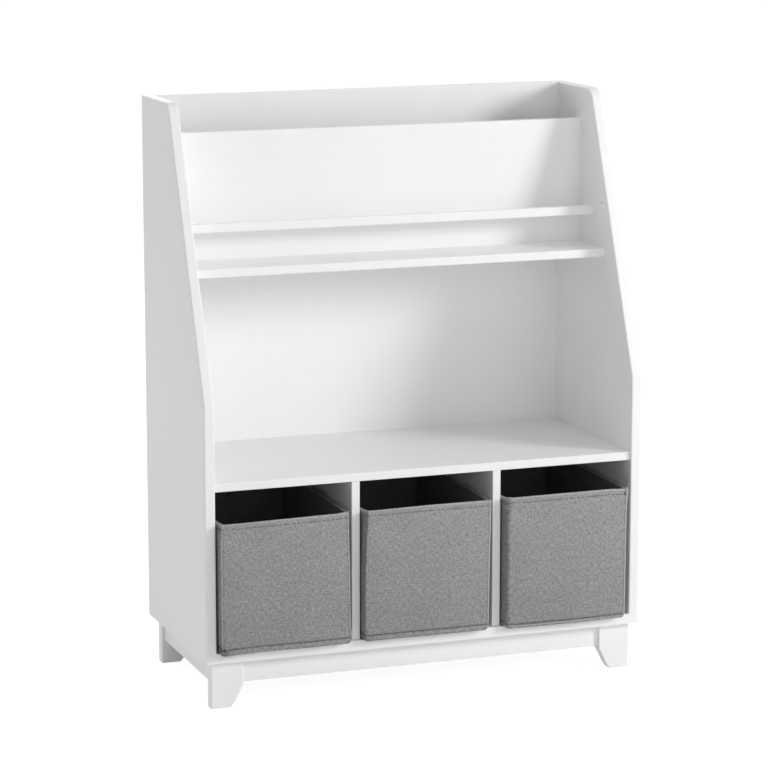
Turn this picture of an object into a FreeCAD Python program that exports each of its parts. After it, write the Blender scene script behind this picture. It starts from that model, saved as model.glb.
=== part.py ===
import FreeCAD, Part
import math
import os

# Toy storage organizer: a white painted board case with a two-pocket book rack at the top, an open
# display bay, and a row of open cubbies that hold soft fabric bins, on a low base frame with four legs.
# Axes: +X to the right as seen from the front, -Y to the front, +Z up. The origin is on the floor,
# at the centre of the footprint of the case and the bins together. All sizes are in millimetres.

# ---- Case ----
case_width = 650.0            # across the outer faces of the sides
case_depth = 290.0            # front edge of the bottom panel to the back face
case_height = 826.0           # floor to the top of the sides
side_thickness = 15.0
bottom_thickness = 15.0
back_thickness = 15.0
shelf_thickness = 12.0
divider_thickness = 12.0
kink_height = 430.0           # floor to where the front edge of a side starts to lean back
lean_angle = 21.75            # degrees between the leaning front edge and the vertical
nose_radius = 25.0            # rounded top front corner of a side
edge_ease = 1.0               # small round along the visible board edges
side_edge_ease = 2.0          # the same along the sides, whose edges are softer
base_ease = 0.8               # small chamfer along the edges of the legs and aprons
inner_setback = 5.0           # lower shelf and dividers stand back from the case front

# ---- Bin cubbies and display bay ----
cubby_count = 3
cubby_height = 226.0          # clear height between the bottom panel and the lower shelf
bay_height = 268.0            # clear height between the lower shelf and the book shelf

# ---- Book rack ----
book_shelf_setback = 39.5     # book shelf front, behind the leaning edge of the sides
book_panel_height = 180.0
book_panel_thickness = 12.0
rail_height = 12.5
rail_thickness = 12.0
rail_rise = 45.0              # gap between the book shelf and the rail
rail_setback = 39.5           # rail front, behind the book shelf front
front_pocket_depth = 38.0     # clear space between the rail and the book panel
pilot_diameter = 3.0          # small blind hole in each side, in front of the rail
pilot_depth = 8.0
pilot_setback = 21.0          # hole centre, behind the leaning edge
pilot_rise = 65.0             # hole centre, above the book shelf

# ---- Base frame ----
base_height = 67.0            # floor to the underside of the bottom panel
base_side_inset = 10.0        # legs stand in from the outer faces of the sides
base_front_inset = 11.0       # front legs stand back from the case front
base_back_inset = 14.0        # back legs stand in from the back face
leg_thickness = 18.0
leg_width = 46.0
knee_width = 33.5             # leg width where its taper meets the bottom chamfer
knee_height = 6.5
foot_width = 28.0
apron_height = 33.0
apron_thickness = 12.0
taper_drop = 3.0              # the leg's taper starts this far below the apron
side_apron_inset = 4.0        # side aprons stand in from the outer faces of the legs
block_length = 36.0           # corner block, along each of the two pieces that it joins
block_end = 10.0              # flat end of a corner block, before its slanted face
block_height = 30.0

# ---- Small round fittings ----
fitting_sides = 8             # flat sides that stand for a small round, on a fitting and in its hole
cam_sides = 12                # the same for the cams, which are larger

# ---- Wooden dowels ----
dowel_diameter = 6.0
dowel_clearance = 0.1         # all round a dowel in its hole
dowel_end_gap = 0.5           # below each end of a dowel
dowel_in_face = 8.0           # depth in the broad face of a board
dowel_in_edge = 15.0          # depth in the edge of a board

# ---- Cam fittings ----
cam_diameter = 15.0
cam_past_axis = 3.6           # the cam reaches this far past the bolt's axis
cam_setback = 24.0            # cam centre, from the end of its board
cam_clearance = 0.15
cam_sink = 0.3                # cam face, below the face of the board
cam_recess_length = 8.0
cam_recess_width = 1.4
cam_recess_depth = 1.6
bolt_thread_diameter = 5.0
bolt_thread_length = 10.0
bolt_shank_diameter = 4.4
bolt_head_diameter = 6.6
bolt_head_length = 2.6
bolt_clearance = 0.3

# ---- Screws ----
screw_diameter = 4.0
screw_head_diameter = 8.0
screw_head_height = 2.6
screw_tip_length = 3.0
screw_clearance = 0.1
socket_width = 3.0            # across the flats of the drive socket
socket_depth = 1.6
case_screw_length = 45.0      # bottom panel to sides and dividers
back_screw_length = 38.0      # back panel to shelves and dividers
block_up_screw_length = 40.0  # corner block to bottom panel
block_leg_screw_length = 21.0
block_web = 9.0               # wood left under the head of the level block screw
block_screw_setback = 17.0    # level block screw, from the side apron

# ---- Fastener spacing ----
cam_edge_distance = 36.0      # cams of a joint, from the board edges
dowel_edge_distance = 76.0    # dowels of a joint, from the board edges
screw_row_inset = 200.0       # screws of a row across the back, from the inside of the sides

# ---- Fabric bins ----
bin_proud = 14.0              # the bins stand out in front of the case
bin_back_gap = 0.8            # behind a bin that is pushed home
bin_side_clearance = 7.8      # each side of a bin in its cubby
bin_headroom = 37.7           # above a bin in its cubby
bin_offsets = (-1.5, -1.5, -3.5)  # how far each bin stands off the centre of its cubby
bin_corner_radius = 2.5
cover_thickness = 1.5         # outer fabric
wall_board_thickness = 2.0    # stiff board sewn into each wall
lining_thickness = 1.0        # inner fabric
base_board_thickness = 3.0
hem_height = 9.0              # folded and stitched top edge
soft_gap = 0.3                # clearance round every soft piece

# ---- Planes worked out from the sizes above ----
overall_depth = case_depth + bin_proud
front_y = bin_proud - overall_depth / 2
back_y = overall_depth / 2
back_inner_y = back_y - back_thickness
outer_x = case_width / 2
inner_x = outer_x - side_thickness
bottom_top_z = base_height + bottom_thickness
lower_shelf_z = bottom_top_z + cubby_height
lower_shelf_top_z = lower_shelf_z + shelf_thickness
book_shelf_z = lower_shelf_top_z + bay_height
book_shelf_top_z = book_shelf_z + shelf_thickness
cubby_width = (2 * inner_x - (cubby_count - 1) * divider_thickness) / cubby_count
inner_front_y = front_y + inner_setback
lean_slope = math.tan(math.radians(lean_angle))
book_shelf_front_y = front_y + (book_shelf_z - kink_height) * lean_slope + book_shelf_setback
rail_front_y = book_shelf_front_y + rail_setback
rail_back_y = rail_front_y + rail_thickness
rail_z = book_shelf_top_z + rail_rise
book_panel_front_y = rail_back_y + front_pocket_depth
book_panel_back_y = book_panel_front_y + book_panel_thickness
book_panel_top_z = book_shelf_top_z + book_panel_height
pilot_z = book_shelf_top_z + pilot_rise
pilot_y = front_y + (pilot_z - kink_height) * lean_slope + pilot_setback
leg_outer_x = outer_x - base_side_inset
leg_inner_x = leg_outer_x - leg_width
front_leg_y = front_y + base_front_inset
front_leg_back_y = front_leg_y + leg_thickness
back_leg_y = back_y - base_back_inset
back_leg_front_y = back_leg_y - leg_thickness
apron_z = base_height - apron_height
side_apron_outer_x = leg_outer_x - side_apron_inset
side_apron_inner_x = side_apron_outer_x - apron_thickness

X = FreeCAD.Vector(1, 0, 0)
Y = FreeCAD.Vector(0, 1, 0)
Z = FreeCAD.Vector(0, 0, 1)

pieces = {}                   # node name to solid
holes = {}                    # node name to the tools that drill it
fasteners = {}                # node name to the solids of one kind of fastener


# ---- Basic shapes ----
def point(x, y, z):
    return FreeCAD.Vector(x, y, z)


def block(x0, x1, y0, y1, z0, z1):
    return Part.makeBox(x1 - x0, y1 - y0, z1 - z0, point(x0, y0, z0))


def turned(profile, base, axis, sides):
    """Small round solid with flat sides, from (radius, height) points, standing at base along axis."""
    turn = 2 * math.pi / sides
    faces = []
    for i in range(sides):
        left, right = [[point(r * math.cos(a), r * math.sin(a), h) for r, h in profile]
                       for a in (i * turn, (i + 1) * turn)]
        for j in range(len(profile) - 1):
            ring = [left[j], right[j], right[j + 1], left[j + 1]]
            corners = [c for k, c in enumerate(ring) if not c.isEqual(ring[k - 1], 1e-7)]
            faces.append(Part.Face(Part.makePolygon(corners + corners[:1])))
    solid = Part.Solid(Part.Shell(faces)).removeSplitter()
    solid.Placement = FreeCAD.Placement(base, FreeCAD.Rotation(Z, axis))
    return solid


def bar(radius, length, base, axis, sides=fitting_sides):
    """Plain small round bar, also as the tool for a hole."""
    return turned([(0, 0), (radius, 0), (radius, length), (0, length)], base, axis, sides)


def prism(corners, normal_length):
    """Extrudes a flat closed outline."""
    return Part.Face(Part.makePolygon(corners + corners[:1])).extrude(normal_length)


def rounded_block(x0, x1, y0, y1, z0, z1, radius):
    """Upright block with rounded vertical edges."""
    solid = block(x0, x1, y0, y1, z0, z1)
    upright = [e for e in solid.Edges if e.BoundBox.ZLength > (z1 - z0) / 2]
    return solid.makeFillet(radius, upright)


def eased(solid, thickness, wanted, ease=edge_ease):
    """Rounds the wanted edges of a board, by no more than its thickness leaves room for."""
    radius = min(ease, 0.4 * thickness)
    edges = [e for e in solid.Edges if wanted(e.CenterOfMass, e.BoundBox)]
    return solid.makeFillet(radius, edges)


def chamfered(solid, wanted):
    """Breaks the wanted edges of a leg or an apron."""
    edges = [e for e in solid.Edges if wanted(e.CenterOfMass, e.BoundBox)]
    return solid.makeChamfer(base_ease, edges)


def near(a, b):
    return abs(a - b) < 1e-4


def drill(name, tool):
    holes.setdefault(name, []).append(tool)


def add_fastener(name, solid):
    fasteners.setdefault(name, []).append(solid)


# ---- Joinery ----
def dowel_joint(face_board, edge_board, seam, direction):
    """Dowel across a seam: direction runs from the broad face of one board into the edge of the other."""
    radius = dowel_diameter / 2
    bore = radius + dowel_clearance
    add_fastener("dowels", bar(radius, dowel_in_face + dowel_in_edge, seam - direction * dowel_in_face, direction))
    drill(face_board, bar(bore, dowel_in_face + dowel_end_gap, seam, direction * -1))
    drill(edge_board, bar(bore, dowel_in_edge + dowel_end_gap, seam, direction))


def cam_bolt(seam, direction):
    """Bolt screwed into a side, with its head at the centre of the cam."""
    thread = bolt_thread_diameter / 2
    shank = bolt_shank_diameter / 2
    head = bolt_head_diameter / 2
    head_start = cam_setback - bolt_head_length / 2
    head_end = head_start + bolt_head_length
    profile = [(0, -bolt_thread_length), (thread, -bolt_thread_length), (thread, 0), (shank, 0),
               (shank, head_start), (head, head_start), (head, head_end), (0, head_end)]
    return turned(profile, seam, direction, fitting_sides)


def cam_nut(centre, direction, face, inward, depth):
    """Cam disc with a cross recess in its face, and a pocket for the bolt that comes in along direction."""
    radius = cam_diameter / 2
    nut = bar(radius, depth, face, inward, cam_sides)
    neck = bar(bolt_shank_diameter / 2 + bolt_clearance, 2 * radius, centre - direction * 2 * radius, direction)
    pocket_length = bolt_head_length + 4 * bolt_clearance
    pocket = bar(bolt_head_diameter / 2 + bolt_clearance, pocket_length,
                 centre - direction * (pocket_length / 2), direction)
    return nut.cut([neck, pocket] + cross_recess(face, inward, direction))


def cross_recess(face, inward, direction):
    """Two crossed bars that cut the recess for a screwdriver."""
    bars = []
    for along in (direction, direction.cross(inward)):
        across = along.cross(inward) * (cam_recess_width / 2)
        reach = along * (cam_recess_length / 2)
        corners = [face - reach - across, face + reach - across, face + reach + across, face - reach + across]
        bars.append(prism(corners, inward * cam_recess_depth))
    return bars


def cam_joint(anchor, board, seam, direction, outward, thickness):
    """Bolt in the anchor board and cam in the other one; outward is the normal of the cam's open face."""
    inward = outward * -1
    centre = seam + direction * cam_setback
    mouth = centre + outward * (thickness / 2)
    face = mouth + inward * cam_sink
    depth = thickness / 2 + cam_past_axis
    add_fastener("cam_bolts", cam_bolt(seam, direction))
    add_fastener("cam_nuts", cam_nut(centre, direction, face, inward, depth - cam_sink))
    drill(anchor, bar(bolt_thread_diameter / 2 + cam_clearance, bolt_thread_length + bolt_clearance,
                      seam, direction * -1))
    drill(board, bar(bolt_shank_diameter / 2 + bolt_clearance, cam_setback, seam, direction))
    drill(board, bar(cam_diameter / 2 + cam_clearance, depth + cam_clearance, mouth, inward, cam_sides))


def screw_shape(length, grow, head_point, direction):
    """Countersunk screw from its flat head to its tip; grow makes it the tool for that screw's hole."""
    head = screw_head_diameter / 2 + grow
    shank = screw_diameter / 2 + grow
    end = length + grow
    profile = [(0, 0), (head, 0), (shank, screw_head_height + grow), (shank, end - screw_tip_length), (0, end)]
    return turned(profile, head_point, direction, fitting_sides)


def screw(node, head_point, direction, length, boards):
    """Screw with a hexagonal drive socket, and its countersunk hole through the boards."""
    socket = bar(socket_width / math.sqrt(3), socket_depth, head_point, direction, 6)
    add_fastener(node, screw_shape(length, 0, head_point, direction).cut(socket))
    for name in boards:
        drill(name, screw_shape(length, screw_clearance, head_point, direction))


# ---- Case boards ----
def make_sides():
    """Sides: an upright front edge, a leaning upper edge and a rounded nose, standing on the bottom panel."""
    top_front_y = front_y + (case_height - kink_height) * lean_slope
    outline = [(front_y, bottom_top_z), (front_y, kink_height), (top_front_y, case_height),
               (back_y, case_height), (back_y, bottom_top_z)]
    for name, x0 in (("side_left", -outer_x), ("side_right", inner_x)):
        side = prism([point(x0, y, z) for y, z in outline], X * side_thickness)
        nose = [e for e in side.Edges if near(e.CenterOfMass.y, top_front_y) and near(e.CenterOfMass.z, case_height)]
        side = side.makeFillet(nose_radius, nose)
        pieces[name] = eased(side, side_thickness, lambda c, b: b.XLength < 1e-4
                             and not near(c.y, back_y) and not near(c.z, bottom_top_z), side_edge_ease)


def make_bottom_and_back():
    bottom = block(-outer_x, outer_x, front_y, back_y, base_height, bottom_top_z)
    pieces["bottom_panel"] = eased(bottom, bottom_thickness, lambda c, b: near(c.y, front_y))
    back = block(-inner_x, inner_x, back_inner_y, back_y, bottom_top_z, case_height)
    pieces["back_panel"] = eased(back, back_thickness, lambda c, b: near(c.z, case_height) and b.XLength > 1)


def make_shelf(name, y0, z0):
    shelf = block(-inner_x, inner_x, y0, back_inner_y, z0, z0 + shelf_thickness)
    pieces[name] = eased(shelf, shelf_thickness, lambda c, b: near(c.y, y0) and b.XLength > 1)


def divider_centres():
    """Middle of each divider, from left to right."""
    pitch = cubby_width + divider_thickness
    return [-inner_x + (i + 1) * pitch - divider_thickness / 2 for i in range(cubby_count - 1)]


def divider_names():
    return ["divider_%d" % (i + 1) for i in range(cubby_count - 1)]


def make_dividers():
    for name, x in zip(divider_names(), divider_centres()):
        half = divider_thickness / 2
        board = block(x - half, x + half, inner_front_y, back_inner_y, bottom_top_z, lower_shelf_z)
        pieces[name] = eased(board, divider_thickness, lambda c, b: near(c.y, inner_front_y) and b.ZLength > 1)


def make_book_rack():
    """Book panel that parts the front and rear pockets, and the rail that keeps books in the front one."""
    panel = block(-inner_x, inner_x, book_panel_front_y, book_panel_back_y, book_shelf_top_z, book_panel_top_z)
    pieces["book_panel"] = eased(panel, book_panel_thickness,
                                 lambda c, b: near(c.z, book_panel_top_z) and b.XLength > 1)
    rail = block(-inner_x, inner_x, rail_front_y, rail_back_y, rail_z, rail_z + rail_height)
    pieces["book_rail"] = eased(rail, rail_thickness, lambda c, b: b.XLength > 1)


# ---- Base frame ----
def make_legs():
    """Board legs with a straight outer edge, and an inner edge that tapers to a chamfered foot."""
    taper_z = apron_z - taper_drop
    outline = [(0, 0), (foot_width, 0), (knee_width, knee_height), (leg_width, taper_z),
               (leg_width, base_height), (0, base_height)]
    rows = (("front", front_leg_y), ("back", back_leg_front_y))
    for row, y0 in rows:
        for side, sign in (("left", -1), ("right", 1)):
            corners = [point(sign * (leg_outer_x - u), y0, z) for u, z in outline]
            leg = prism(corners, Y * leg_thickness)
            pieces["leg_%s_%s" % (row, side)] = chamfered(
                leg, lambda c, b: b.YLength < 1e-4 and not near(c.z, base_height))


def make_aprons():
    """Front and back aprons between the legs, flush with their inner faces, and side aprons behind the legs."""
    def lower(c, b):
        return near(c.z, apron_z) and max(b.XLength, b.YLength) > 2 * apron_thickness

    front = block(-leg_inner_x, leg_inner_x, front_leg_back_y - apron_thickness, front_leg_back_y,
                  apron_z, base_height)
    back = block(-leg_inner_x, leg_inner_x, back_leg_front_y, back_leg_front_y + apron_thickness,
                 apron_z, base_height)
    pieces["apron_front"] = chamfered(front, lower)
    pieces["apron_back"] = chamfered(back, lower)
    for name, x0 in (("apron_left", -side_apron_outer_x), ("apron_right", side_apron_inner_x)):
        board = block(x0, x0 + apron_thickness, front_leg_back_y, back_leg_front_y, apron_z, base_height)
        pieces[name] = chamfered(board, lower)


def make_corner_block(sx, sy, leg):
    """Slant-faced block in a corner of the base, screwed to the leg and up into the bottom panel."""
    corner = point(-sx * side_apron_inner_x, front_leg_back_y if sy > 0 else back_leg_front_y, 0)
    u = X * sx
    v = Y * sy
    base = corner + Z * (base_height - block_height)
    outline = [base, base + u * block_length, base + u * block_length + v * block_end,
               base + u * block_end + v * block_length, base + v * block_length]
    solid = prism(outline, Z * block_height)
    seat = block_web + screw_head_height
    head = corner + Z * (base_height - apron_height / 2) + u * block_screw_setback + v * seat
    up = base + (u + v) * block_end
    counterbore = bar(screw_head_diameter / 2 + screw_clearance, block_length, head, v)
    screw("block_screws", head, v * -1, block_leg_screw_length, [leg])
    screw("block_screws", up, Z, block_up_screw_length, ["bottom_panel"])
    return solid.cut([counterbore,
                      screw_shape(block_leg_screw_length, screw_clearance, head, v * -1),
                      screw_shape(block_up_screw_length, screw_clearance, up, Z)])


def make_corner_blocks():
    solids = []
    for sx, side in ((1, "left"), (-1, "right")):
        for sy, row in ((1, "front"), (-1, "back")):
            solids.append(make_corner_block(sx, sy, "leg_%s_%s" % (row, side)))
    pieces["corner_blocks"] = Part.makeCompound(solids)


def join_base():
    """A dowel between each end of an apron and its leg."""
    z = base_height - apron_height / 2
    for side, sign in (("left", -1), ("right", 1)):
        x = sign * (side_apron_inner_x + apron_thickness / 2)
        for row, across_y, y, way in (
                ("front", front_leg_back_y - apron_thickness / 2, front_leg_back_y, Y),
                ("back", back_leg_front_y + apron_thickness / 2, back_leg_front_y, Y * -1)):
            leg = "leg_%s_%s" % (row, side)
            dowel_joint(leg, "apron_" + row, point(sign * leg_inner_x, across_y, z), X * -sign)
            dowel_joint(leg, "apron_" + side, point(x, y, z), way)


# ---- Joints between the case boards ----
def both_ends():
    """Each side with the x of its inner face and the direction from it into the case."""
    return (("side_left", -inner_x, X), ("side_right", inner_x, X * -1))


def join_shelf(name, z0, cam_ys, dowel_ys):
    """Cams under each end of a shelf, with dowels beside them."""
    z = z0 + shelf_thickness / 2
    for side, x, way in both_ends():
        for y in cam_ys:
            cam_joint(side, name, point(x, y, z), way, Z * -1, shelf_thickness)
        for y in dowel_ys:
            dowel_joint(side, name, point(x, y, z), way)


def join_shelves():
    """The deep lower shelf has two cams at each end, and the book shelf has one between two dowels."""
    outer_ys = (inner_front_y + cam_edge_distance, back_inner_y - cam_edge_distance)
    join_shelf("lower_shelf", lower_shelf_z, outer_ys, (sum(outer_ys) / 2,))
    outer_ys = (book_shelf_front_y + cam_edge_distance, back_inner_y - cam_edge_distance)
    join_shelf("book_shelf", book_shelf_z, (sum(outer_ys) / 2,), outer_ys)


def join_book_rack():
    """A cam in the rear face of each end of the book panel with a dowel each side of it, a rail dowel,
    and a small spare hole in front of the rail."""
    panel_y = book_panel_front_y + book_panel_thickness / 2
    middle_z = book_shelf_top_z + book_panel_height / 2
    for side, x, way in both_ends():
        cam_joint(side, "book_panel", point(x, panel_y, middle_z), way, Y, book_panel_thickness)
        for z in (book_shelf_top_z + cam_edge_distance, book_panel_top_z - cam_edge_distance):
            dowel_joint(side, "book_panel", point(x, panel_y, z), way)
        rail_centre = point(x, rail_front_y + rail_thickness / 2, rail_z + rail_height / 2)
        dowel_joint(side, "book_rail", rail_centre, way)
        drill(side, bar(pilot_diameter / 2, pilot_depth, point(x, pilot_y, pilot_z), way * -1))


def join_back():
    """Cams in the rear face along both edges of the back panel, and screws into the boards in front of it."""
    for side, x, way in both_ends():
        for z in (bottom_top_z + dowel_edge_distance, case_height - dowel_edge_distance):
            cam_joint(side, "back_panel", point(x, back_y - back_thickness / 2, z), way, Y, back_thickness)
    reach = inner_x - screw_row_inset
    for name, z in (("lower_shelf", lower_shelf_z), ("book_shelf", book_shelf_z)):
        for x in (-reach, reach):
            head = point(x, back_y, z + shelf_thickness / 2)
            screw("back_screws", head, Y * -1, back_screw_length, ["back_panel", name])
    for name, x in zip(divider_names(), divider_centres()):
        head = point(x, back_y, bottom_top_z + cubby_height / 2)
        screw("back_screws", head, Y * -1, back_screw_length, ["back_panel", name])


def join_bottom():
    """Screws up into the sides and dividers between the legs, and dowels at the ends of these boards."""
    first = front_leg_back_y + dowel_edge_distance / 2
    last = back_leg_front_y - dowel_edge_distance / 2
    for side, sign in (("side_left", -1), ("side_right", 1)):
        x = sign * (outer_x - side_thickness / 2)
        for y in (first, last):
            screw("case_screws", point(x, y, base_height), Z, case_screw_length, ["bottom_panel", side])
        for y in (front_y + cam_edge_distance, back_y - cam_edge_distance):
            dowel_joint("bottom_panel", side, point(x, y, bottom_top_z), Z)
    for name, x in zip(divider_names(), divider_centres()):
        screw("case_screws", point(x, (first + last) / 2, base_height), Z, case_screw_length,
              ["bottom_panel", name])
        for y in (inner_front_y + cam_edge_distance, back_inner_y - cam_edge_distance):
            dowel_joint("lower_shelf", name, point(x, y, lower_shelf_z), Z * -1)


# ---- Fabric bins ----
def soft_tub(outer, inner, thickness):
    """Tub of cloth, open at the top: the outer block less an inner one that stands a thickness higher."""
    return outer.cut(inner.translated(Z * thickness))


def make_bin(name, centre_x):
    """Soft open bin: outer cover, stiff wall boards, inner lining, loose base board and stitched hem."""
    half = cubby_width / 2 - bin_side_clearance
    x0, x1 = centre_x - half, centre_x + half
    y0, y1 = front_y - bin_proud, back_inner_y - bin_back_gap
    z0 = bottom_top_z + soft_gap
    top = lower_shelf_z - bin_headroom
    wall_top = top - hem_height - soft_gap

    def upright(inset, low, high, radius=0.0):
        """Upright block at an inset from the outside of the bin."""
        sides = (x0 + inset, x1 - inset, y0 + inset, y1 - inset)
        if radius > 0:
            return rounded_block(*sides, low, high, radius)
        return block(*sides, low, high)

    cover_inner = upright(cover_thickness, z0, wall_top + 1, bin_corner_radius - cover_thickness)
    pieces[name + "_cover"] = soft_tub(upright(0, z0, wall_top, bin_corner_radius), cover_inner, cover_thickness)

    outside = cover_thickness + soft_gap
    inside = outside + wall_board_thickness
    board_z = z0 + outside
    side_y0, side_y1 = y0 + inside + soft_gap, y1 - inside - soft_gap
    end_x0, end_x1 = x0 + bin_corner_radius, x1 - bin_corner_radius
    pieces[name + "_wall_boards"] = Part.makeCompound([
        block(end_x0, end_x1, y0 + outside, y0 + inside, board_z, wall_top),
        block(end_x0, end_x1, y1 - inside, y1 - outside, board_z, wall_top),
        block(x0 + outside, x0 + inside, side_y0, side_y1, board_z, wall_top),
        block(x1 - inside, x1 - outside, side_y0, side_y1, board_z, wall_top)])

    lining = inside + soft_gap
    mouth = lining + lining_thickness
    pieces[name + "_lining"] = soft_tub(upright(lining, board_z, wall_top),
                                        upright(mouth, board_z, wall_top + 1), lining_thickness)

    base_z = board_z + lining_thickness + soft_gap
    pieces[name + "_base_board"] = upright(mouth + soft_gap, base_z, base_z + base_board_thickness)

    rim = upright(0, top - hem_height, top, bin_corner_radius)
    pieces[name + "_hem"] = rim.cut(upright(mouth, wall_top, top + 1))


def make_bins():
    pitch = cubby_width + divider_thickness
    for i in range(cubby_count):
        centre_x = -inner_x + cubby_width / 2 + i * pitch
        make_bin("bin_%d" % (i + 1), centre_x + bin_offsets[i % len(bin_offsets)])


# ---- Build and write ----
def build():
    make_sides()
    make_bottom_and_back()
    make_shelf("lower_shelf", inner_front_y, lower_shelf_z)
    make_shelf("book_shelf", book_shelf_front_y, book_shelf_z)
    make_dividers()
    make_book_rack()
    make_legs()
    make_aprons()
    make_corner_blocks()
    join_base()
    join_shelves()
    join_book_rack()
    join_back()
    join_bottom()
    make_bins()


def write():
    os.makedirs("parts", exist_ok=True)
    for name, tools in holes.items():
        pieces[name] = pieces[name].cut(tools)
    for name, solids in fasteners.items():
        pieces[name] = Part.makeCompound(solids)
    for name, shape in pieces.items():
        shape.exportStep("parts/%s.step" % name)


build()
write()
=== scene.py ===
import math
from collections import namedtuple
import bmesh
import bpy
from mathutils import Matrix, Vector, noise


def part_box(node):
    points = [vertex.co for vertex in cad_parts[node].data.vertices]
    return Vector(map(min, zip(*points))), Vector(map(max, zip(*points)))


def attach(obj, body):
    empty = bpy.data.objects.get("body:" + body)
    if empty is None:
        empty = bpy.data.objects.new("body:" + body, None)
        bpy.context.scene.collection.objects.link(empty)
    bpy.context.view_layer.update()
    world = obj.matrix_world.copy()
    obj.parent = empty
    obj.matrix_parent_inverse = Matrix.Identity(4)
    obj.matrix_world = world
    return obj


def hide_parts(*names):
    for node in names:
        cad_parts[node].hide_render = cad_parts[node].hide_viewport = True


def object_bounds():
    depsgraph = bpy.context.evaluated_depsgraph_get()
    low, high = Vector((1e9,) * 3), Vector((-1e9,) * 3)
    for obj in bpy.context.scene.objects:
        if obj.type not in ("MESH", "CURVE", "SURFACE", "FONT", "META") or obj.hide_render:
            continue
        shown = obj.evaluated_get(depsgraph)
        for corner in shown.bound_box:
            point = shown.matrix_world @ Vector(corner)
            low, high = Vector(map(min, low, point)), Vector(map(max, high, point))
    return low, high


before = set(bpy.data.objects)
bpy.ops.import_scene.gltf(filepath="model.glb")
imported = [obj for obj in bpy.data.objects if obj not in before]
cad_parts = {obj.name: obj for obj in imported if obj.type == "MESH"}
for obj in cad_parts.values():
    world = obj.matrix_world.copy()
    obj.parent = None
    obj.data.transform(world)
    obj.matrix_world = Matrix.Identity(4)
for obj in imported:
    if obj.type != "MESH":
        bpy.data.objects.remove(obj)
cad_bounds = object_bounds()

# Dresses the toy storage organizer: paint on the boards, round metal fittings, and three sewn fabric bins.
# Axes: +X to the right as seen from the front, -Y to the front, +Z up. Lengths are in metres.
MM = 0.001
BINS = (1, 2, 3)

# ---- Camera, fitted to the board corners in the photograph ----
CAMERA_PLACE = (-1.4917, -4.0585, 1.2383)
CAMERA_TURN = 19.99           # degrees to the right of straight ahead
CAMERA_DROP = 10.78           # degrees below the horizon
CAMERA_LENS = 144.3
CAMERA_SENSOR = 36.0
CAMERA_CLIP = 60.0

# ---- Light ----
SKY_LIGHT = 0.33
LAMP_DISTANCE = 3.6
# Degrees to the right of the front, degrees above level, size in metres and power in watts.
LAMPS = {
    "key": (50.0, 19.0, 0.9, 61.0),
    "front": (0.0, 8.0, 2.8, 26.0),
    "left": (-120.0, 20.0, 2.5, 17.5),
    "top": (0.0, 85.0, 2.5, 19.0),
    "back": (180.0, 25.0, 2.5, 24.0),
}
WHITE = (1.0, 1.0, 1.0)

# ---- Floor ----
FLOOR_REACH = 40.0
FLOOR_LEVEL = -0.2 * MM       # just under the feet
FLOOR_COLOUR = (0.92, 0.92, 0.92)
FLOOR_SEEN_COLOUR = (0.50, 0.50, 0.50)    # to the camera, where the glow brings it up to white
FLOOR_GLOW = 0.85

# ---- Colours: the darkest and lightest shade of each material, and the tints of the cloth ----
PAINT = ((0.885, 0.877, 0.885), (0.91, 0.902, 0.91))
WARP_YARN = ((0.173, 0.17, 0.174), (0.525, 0.519, 0.527))
WEFT_YARN = ((0.184, 0.181, 0.185), (0.50, 0.495, 0.502))
FLECK = (0.55, 0.545, 0.553)
CLOTH_SHADE = (0.15, 0.148, 0.151)
CLOTH_MOTTLE = (0.14, 0.138, 0.141)
# palest cloth: pale yarn, and painted highlights on the seams, the crest and the band under the foot
PALE_CLOTH_AND_HIGHLIGHT = (0.66, 0.652, 0.664)
# darkest cloth: dark yarn, and painted shade in grooves, folds, creases, on the side walls and inside the
# crest
DARK_CLOTH_AND_SHADE = (0.035, 0.034, 0.036)
LINING = ((0.11, 0.106, 0.113), (0.18, 0.175, 0.184))
# dark thread, whose darkness also paints the shade in the stitch holes and puckers
THREAD_AND_STITCH_SHADE = ((0.045, 0.044, 0.046), (0.10, 0.098, 0.101))
BOARD = ((0.23, 0.20, 0.165), (0.34, 0.31, 0.265))
WOOD = ((0.42, 0.27, 0.14), (0.62, 0.44, 0.26))
PLATED_ZINC = ((0.55, 0.56, 0.58), (0.78, 0.79, 0.81))
CAST_ZINC = ((0.40, 0.41, 0.43), (0.60, 0.61, 0.63))

# ---- Roughness, from the lowest to the highest ----
PAINT_ROUGHNESS = (0.256, 0.488)
PLATED_ROUGHNESS = (0.22, 0.4)
CAST_ROUGHNESS = (0.35, 0.55)

# ---- Fittings ----
CAM_RECESS_DEPTH = 1.4 * MM
CAM_GROOVE_DEPTH = 0.25 * MM  # between the raised land and the rim
CAM_RIM_CHAMFER = 0.6 * MM
CAM_RECESS_SHARE = 0.26       # radius of the recess at its floor, as a share of the cam's
CAM_CROSS_REACH = 0.5         # length of each arm of the cross, as a share of the radius
CROSS_LIP_PLACE = 0.6 * MM    # from the middle of an arm
CROSS_LIP_WIDTH = 0.25 * MM
CROSS_LIP_FOOT = -0.05 * MM
CROSS_LIP_TOP = 0.08 * MM
SCREW_SOCKET_DEPTH = 1.6 * MM
SCREW_HEAD_HEIGHT = 2.7 * MM
SCREW_TIP_LENGTH = 3 * MM
CAM_STEPS = 32
SCREW_STEPS = 24

# ---- Cloth of the bins ----
YARN = 0.85 * MM              # width of one yarn of the weave
STITCH_PITCH = 6.2 * MM
STITCH_LENGTH = 3.9 * MM
STITCH_WANDER = 0.5 * MM      # a stitch lies up to this far off its line
STITCH_SLANT = 0.25
THREAD_RADIUS = 0.4 * MM
THREAD_SIDES = 6
THREAD_DEPTH = 0.6 * MM       # of the thread's middle, in its stitched groove
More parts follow.
